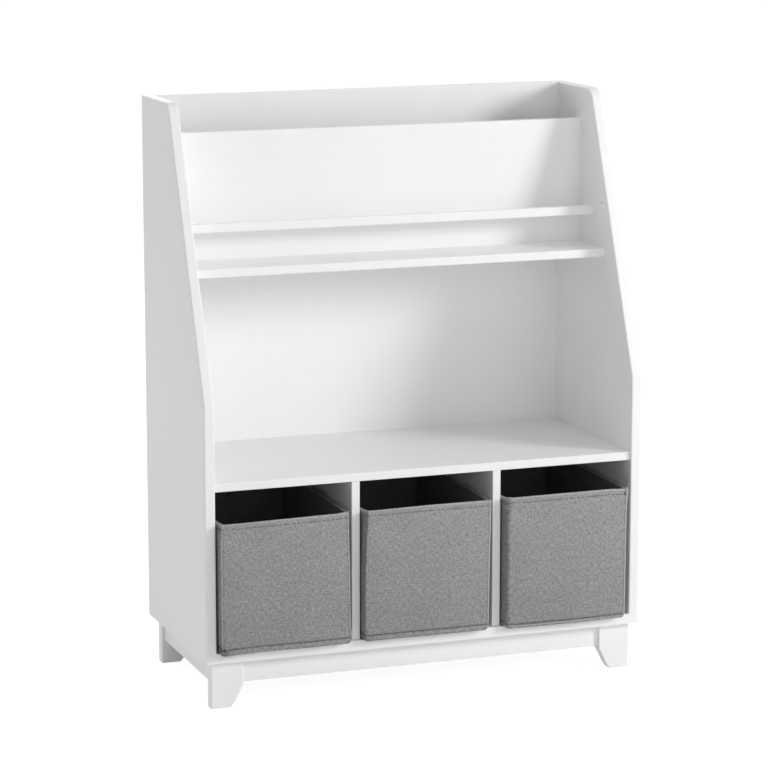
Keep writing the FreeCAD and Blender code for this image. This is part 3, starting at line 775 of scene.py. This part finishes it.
def crumple(tub, x, z):
    """How near a point is to the middle of the creases at the bottom left."""
    return hill((x - tub.low.x) / CRUMPLE_WIDTH, (z - tub.low.z - CRUMPLE_RISE) / CRUMPLE_HEIGHT)


def crease_noise(tub, around, z):
    """Fine noise that the creases follow, from -1 to 1."""
    return cloth_noise(around, z, CREASES, tub.number)


def pinch(tub, x, z, width, height):
    """How near a point is to the middle of the fold beside the top right corner."""
    return hill((tub.high.x - PINCH_INSET - x) / width, (tub.high.z - PINCH_DROP - z) / height)


def creases(tub, spot, z):
    """Fold beside the top right corner of the front, and creases round the bottom left corner."""
    if spot.y > tub.low.y + FRONT_DEPTH:
        return 0.0
    fold = -PINCH[tub.number] * MM * pinch(tub, spot.x, z, *PINCH_SIZE)
    return fold + CRUMPLE[tub.number] * MM * crumple(tub, spot.x, z) * crease_noise(tub, spot.around, z)


def cover_rows(tub):
    """The cover's profile from under the foot, up the wall and over the crest."""
    bottom, top = tub.low.z, tub.high.z
    foot, hem = tub.foot_stitch, tub.hem_stitch
    rows = [Row(inset * MM, bottom + rise * MM, 0, 0) for inset, rise in UNDER_FOOT]
    puffed = foot - bottom - 2 * SEAM_REACH
    for u in PUFF_PLACES:
        # painted highlight growing up the puffed band
        wear = FOOT_BAND_HIGHLIGHT[tub.number] * u ** 2
        rows.append(Row(-FOOT_PUFF * math.sin(math.pi * u), bottom + FOOT_TURN + puffed * u, 0, wear))
    rows += stitched_rows(foot, FOOT_GROOVE, FOOT_LINE_SHADE)
    span = hem - foot - 2 * SEAM_REACH
    steps = round(span / ROW_PITCH)
    rows += [Row(0.0, foot + SEAM_REACH + span * k / steps, 0, 0) for k in range(1, steps)]
    rows += stitched_rows(hem, HEM_GROOVE, HEM_LINE_SHADE)
    # painted highlight along the outside of the crest and painted shade on its inside
    rows += [Row(inset * MM, top - drop * MM, 0, wear) for inset, drop, wear in CREST_OUTSIDE]
    return rows + [Row(WALL - short * MM, top - drop * MM, 0, wear) for short, drop, wear in CREST_INSIDE]


def stitched_rows(z, depth, wear):
    """Rows that dip into a stitched line and gather at each stitch, painted darker there as shade."""
    return [Row(dip * depth, z + rise * MM, share, share * wear) for rise, dip, share in STITCHED_LINE]


def light_and_tone_at(tub, spot, z, wear, seam):
    """Painted highlight on the seam ridge at a corner; painted shade in the groove beside it, on the side
    walls, on the right wall's top edge, in the fold at the top right and in the creases at the bottom left;
    uneven yarn under the foot stitches, and the front paler to the right and darker to the foot."""
    i, low, high = tub.number, tub.low, tub.high
    crest = z > high.z - CREST_HEIGHT
    if wear < 0 and crest:
        return wear
    front = spot.out_y < -0.5
    uneven = 1.0 + 0.8 * cloth_noise(spot.around, z, UNEVEN_SEAM, 2.0 * i)
    pale = SEAM_HIGHLIGHT[i] if spot.out_x > 0 else LEFT_SEAM_HIGHLIGHT * seam
    value = wear * uneven + pale * spot.corner ** 4 * (1 - min(abs(wear), 1.0))
    if front and spot.corner == 0.0:
        value += GROOVE_PAINTED_SHADE * seam * hill((spot.edge - GROOVE_PLACE) / GROOVE_SHADE_WIDTH)
    if not crest:
        value += SIDE_PAINTED_SHADE * smooth(abs(spot.out_x), 0.3, 1.0)
    if z < tub.foot_stitch:
        value += KNOT_WEAR * cloth_noise(spot.around, z, KNOTS, 9.0 * i)
    if spot.out_x > 0.9 and crest:
        value += RIGHT_CREST_SHADE
    value += CRUMPLE_SHADE * CRUMPLE[i] * crumple(tub, spot.x, z) * (0.5 + crease_noise(tub, spot.around, z))
    if front:
        value += RIGHT_FRONT_PALING * (spot.x - low.x) / (high.x - low.x)
        value += LOW_FRONT_DARKENING * (high.z - z) / (high.z - low.z)
        value += PINCH_PAINTED_SHADE * PINCH[i] * pinch(tub, spot.x, z, *PINCH_SHADE_SIZE)
    return value


def cover_out(tub, spot, row, seam):
    """How far a spot of the cover stands out for its corner seam, the groove beside it and its creases."""
    out = seam * SEAM_RIDGE * smooth(row.z - tub.low.z, SEAM_START, SEAM_FULL) * spot.corner ** 6
    if spot.corner == 0.0:
        out -= GROOVE_SHARE * seam * SEAM_RIDGE * hill((spot.edge - GROOVE_PLACE) / GROOVE_WIDTH)
    return out + creases(tub, spot, row.z)


def cover_lift(tub, spot, z):
    """How far the corner seams stand up over the crest."""
    ear = EAR[tub.number] if spot.out_x > 0 and spot.out_y < 0 else PLAIN_EAR
    return ear * MM * spot.corner ** 4 * smooth(z, tub.high.z - EAR_START, tub.high.z - EAR_FULL)


def build_shell(shape, tub, rows, slack_size, is_cover):
    """Skin of a bin from its rows, closed at the first row; the cover has seams, creases, painted highlights
    and painted shade.
    """
    light_and_tone_layer = shape.verts.layers.float.new("wear")
    rings = []
    for row in rows:
        ring = []
        for spot in outline(tub, row.inset, row.z):
            out = slack(tub, spot.around, row.z, slack_size * (0.5 + 0.5 * abs(spot.out_y)))
            out -= GATHER * row.gather * spot.stitch
            seam = seam_share(tub, spot)
            lift = wear = 0.0
            if is_cover:
                out += cover_out(tub, spot, row, seam)
                lift = cover_lift(tub, spot, row.z)
                wear = light_and_tone_at(tub, spot, row.z, row.wear, seam)
            back = min(spot.y + spot.out_y * out, tub.high.y + BACK_ROOM)
            vertex = shape.verts.new(lean(tub, Vector((spot.x + spot.out_x * out, back, row.z + lift))))
            vertex[light_and_tone_layer] = wear
            ring.append((vertex, spot.around))
        rings.append(ring)
    join_rings(shape, rings, rows)


def join_rings(shape, rings, rows):
    """Faces between rings of (vertex, distance round the bin), with the unrolled cloth as their UV map."""
    cloth = shape.loops.layers.uv.new("cloth")
    heights = [0.0]
    for lower, upper in zip(rows, rows[1:]):
        heights.append(heights[-1] + math.hypot(upper.inset - lower.inset, upper.z - lower.z))
    count = len(rings[0])
    around = 2 * rings[0][-1][1] - rings[0][-2][1]
    for j, (lower, upper) in enumerate(zip(rings, rings[1:])):
        for k in range(count):
            n = (k + 1) % count
            face = shape.faces.new([lower[k][0], lower[n][0], upper[n][0], upper[k][0]])
            near = lower[k][1]
            far = lower[n][1] if n else around
            places = [(near, heights[j]), (far, heights[j]), (far, heights[j + 1]), (near, heights[j + 1])]
            for corner, place in zip(face.loops, places):
                corner[cloth].uv = place
    face = shape.faces.new([v for v, _ in reversed(rings[0])])
    for corner in face.loops:
        corner[cloth].uv = (corner.vert.co.x, corner.vert.co.y)


def build_stitches(shape, tub):
    """Two stitched lines round a bin: each stitch is a short thread that dips into the cloth at both ends."""
    for z in (tub.foot_stitch, tub.hem_stitch):
        for spot in outline(tub, 0.0, z):
            if not spot.stitch:
                continue
            x, y, out_x, out_y = spot[:4]
            out = slack(tub, spot.around, z, 0.5 + 0.5 * abs(out_y)) - THREAD_DEPTH
            uneven = cloth_noise(spot.around, z, UNEVEN_STITCH, 5.0 * tub.number)
            centre = Vector((x + out_x * out, y + out_y * out, z + STITCH_WANDER * uneven))
            add_stitch(shape, tub, centre, Vector((-out_y, out_x, STITCH_SLANT * uneven)),
                       Vector((out_x, out_y, 0)))


def add_stitch(shape, tub, centre, way, normal):
    """One arched thread."""
    across = way.cross(normal)
    rings = []
    for along, rise, width in STITCH_ARCH:
        middle = centre + way * (along * STITCH_LENGTH) + normal * (rise * THREAD_RADIUS)
        ring = []
        for k in range(THREAD_SIDES):
            angle = 2 * math.pi * k / THREAD_SIDES
            edge = normal * math.cos(angle) + across * math.sin(angle)
            ring.append(shape.verts.new(lean(tub, middle + edge * (THREAD_RADIUS * width))))
        rings.append(ring)
    for a, b in zip(rings, rings[1:]):
        for k in range(THREAD_SIDES):
            n = (k + 1) % THREAD_SIDES
            shape.faces.new([a[k], b[k], b[n], a[n]])
    shape.faces.new(rings[0])
    shape.faces.new(list(reversed(rings[-1])))


def lining_rows(tub, floor):
    """The lining's profile from the floor of the bin up to just under the cover's folded edge."""
    top = tub.high.z - LINING_DROP
    steps = round((top - floor) / (2 * ROW_PITCH))
    rows = [Row(WALL + inset * MM, floor + rise * MM, 0, 0) for inset, rise in LINING_FLOOR]
    rows += [Row(WALL + LINING_GAP, floor + (top - floor) * k / steps, 0, 0) for k in range(1, steps + 1)]
    return rows


def build_insert(shape, tub, low, high):
    """Wrapped base board in its box: a thin slab with soft edges and an uneven top."""
    steps = INSERT_STEPS
    grid = {}
    for level, z in enumerate((low.z, high.z)):
        for a in range(steps + 1):
            for b in range(steps + 1):
                u, v = a / steps, b / steps
                edge = min(u, 1 - u, v, 1 - v)
                soft = INSERT_EDGE * max(0.0, 1 - edge / INSERT_EDGE_WIDTH)
                wave = INSERT_WAVE * noise.noise(Vector((u * 3, v * 4, tub.number)))
                height = z - soft + wave if level else z
                point = Vector((low.x + (high.x - low.x) * u, low.y + (high.y - low.y) * v, height))
                grid[level, a, b] = shape.verts.new(lean(tub, point))
    for a in range(steps):
        for b in range(steps):
            shape.faces.new([grid[1, a, b], grid[1, a + 1, b], grid[1, a + 1, b + 1], grid[1, a, b + 1]])
            shape.faces.new([grid[0, a, b], grid[0, a, b + 1], grid[0, a + 1, b + 1], grid[0, a + 1, b]])
    for k in range(steps):
        for a, b, c, d in ((k, 0, k + 1, 0), (steps, k, steps, k + 1),
                           (k + 1, steps, k, steps), (0, k + 1, 0, k)):
            shape.faces.new([grid[0, a, b], grid[0, c, d], grid[1, c, d], grid[1, a, b]])


def build_boards(shape, tub):
    """The stiff boards between cover and lining, which lean with the bin but don't sag at the foot."""
    shape.from_mesh(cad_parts["bin_%d_wall_boards" % tub.number].data)
    for vertex in shape.verts:
        vertex.co = lean(tub, vertex.co, sag=0.0)


def make_bin(i, fabric, lining, thread, board):
    """Cover, lining, insert, boards and stitches of one bin."""
    tub = find_tub(i)
    body = "bin_%d" % i
    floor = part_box("bin_%d_lining" % i)[0].z + LINING_THICKNESS
    board_low, board_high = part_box("bin_%d_base_board" % i)
    cover = make_piece(body + "_fabric", body, fabric,
                       lambda shape: build_shell(shape, tub, cover_rows(tub), 1.0, True))
    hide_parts(body + "_cover", body + "_hem")
    inner = make_piece(body + "_inside", body, lining,
                       lambda shape: build_shell(shape, tub, lining_rows(tub, floor), 0.4, False))
    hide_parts(body + "_lining")
    insert = make_piece(body + "_insert", body, lining,
                        lambda shape: build_insert(shape, tub, board_low, board_high))
    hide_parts(body + "_base_board")
    boards = make_piece(body + "_boards", body, board,
                        lambda shape: build_boards(shape, tub))
    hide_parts(body + "_wall_boards")
    stitches = make_piece(body + "_stitches", body, thread,
                          lambda shape: build_stitches(shape, tub))
    for piece in (cover, inner, stitches):
        piece.data.shade_smooth()
    shade_smooth(insert, 60.0)


# ---- Studio ----
def make_camera():
    """Camera at the fitted place, turned and dropped, with no shift."""
    data = bpy.data.cameras.new("camera")
    data.lens = CAMERA_LENS
    data.sensor_width = CAMERA_SENSOR
    data.clip_end = CAMERA_CLIP
    camera = bpy.data.objects.new("camera", data)
    camera.location = CAMERA_PLACE
    camera.rotation_euler = (math.radians(90 - CAMERA_DROP), 0.0, -math.radians(CAMERA_TURN))
    bpy.context.scene.collection.objects.link(camera)
    bpy.context.scene.camera = camera


def make_lamp(name, place, target, size, power):
    """Square soft box at a place, turned to a target."""
    data = bpy.data.lights.new(name, "AREA")
    data.shape = "SQUARE"
    data.size = size
    data.energy = power
    lamp = bpy.data.objects.new(name, data)
    lamp.location = place
    lamp.rotation_euler = (target - place).to_track_quat("-Z", "Y").to_euler()
    bpy.context.scene.collection.objects.link(lamp)


def make_lights():
    """Soft boxes all round, strongest from the front right, in an even white room."""
    middle = (cad_bounds[0] + cad_bounds[1]) / 2
    for name, (turn_degrees, rise_degrees, size, power) in LAMPS.items():
        turn, rise = math.radians(turn_degrees), math.radians(rise_degrees)
        way = Vector((math.sin(turn) * math.cos(rise), -math.cos(turn) * math.cos(rise), math.sin(rise)))
        make_lamp(name, middle + way * LAMP_DISTANCE, middle, size, power)
    world = bpy.data.worlds.new("room")
    bpy.context.scene.world = world
    world.use_nodes = True
    tree = world.node_tree
    background = tree.nodes["Background"]
    background.inputs["Color"].default_value = (*WHITE, 1.0)
    strength = math_node(tree, "ADD", SKY_LIGHT, times(tree, seen_rays(tree), 1.0 - SKY_LIGHT))
    link(tree, strength, background.inputs["Strength"])


def seen_rays(tree):
    """1 for what the camera sees, directly or in shine and glass, and 0 for light that falls on things."""
    rays = tree.nodes.new("ShaderNodeLightPath")
    direct = math_node(tree, "MAXIMUM", rays.outputs["Is Camera Ray"], rays.outputs["Is Glossy Ray"])
    return math_node(tree, "MAXIMUM", direct, rays.outputs["Is Transmission Ray"])


def make_floor():
    """Pale floor that looks white to the camera and keeps the shadow of the object."""
    mesh = bpy.data.meshes.new("floor")
    sides = ((-1, -1), (1, -1), (1, 1), (-1, 1))
    corners = [(x * FLOOR_REACH, y * FLOOR_REACH, FLOOR_LEVEL) for x, y in sides]
    mesh.from_pydata(corners, [], [(0, 1, 2, 3)])
    floor = bpy.data.objects.new("floor", mesh)
    bpy.context.scene.collection.objects.link(floor)
    material, tree, shader = new_material("floor_paint", Roughness=1.0, Specular_IOR_Level=0.0)
    seen = seen_rays(tree)
    link(tree, mix_colours(tree, seen, FLOOR_COLOUR, FLOOR_SEEN_COLOUR), shader.inputs["Base Color"])
    shader.inputs["Emission Color"].default_value = (*WHITE, 1.0)
    link(tree, times(tree, seen, FLOOR_GLOW), shader.inputs["Emission Strength"])
    mesh.materials.append(material)


# ---- Build ----
bpy.context.scene.view_settings.view_transform = "Standard"
zinc_plated = metal("zinc_plated", PLATED_ZINC, PLATED_ROUGHNESS)
cast_zinc = metal("cast_zinc", CAST_ZINC, CAST_ROUGHNESS)
dress_case()
dress_fittings(zinc_plated, cast_zinc)
fabric_material = bin_fabric()
lining_material = lining_fabric()
thread_material = sewing_thread()
board_material = paperboard()
for bin_number in BINS:
    make_bin(bin_number, fabric_material, lining_material, thread_material, board_material)
make_camera()
make_lights()
make_floor()
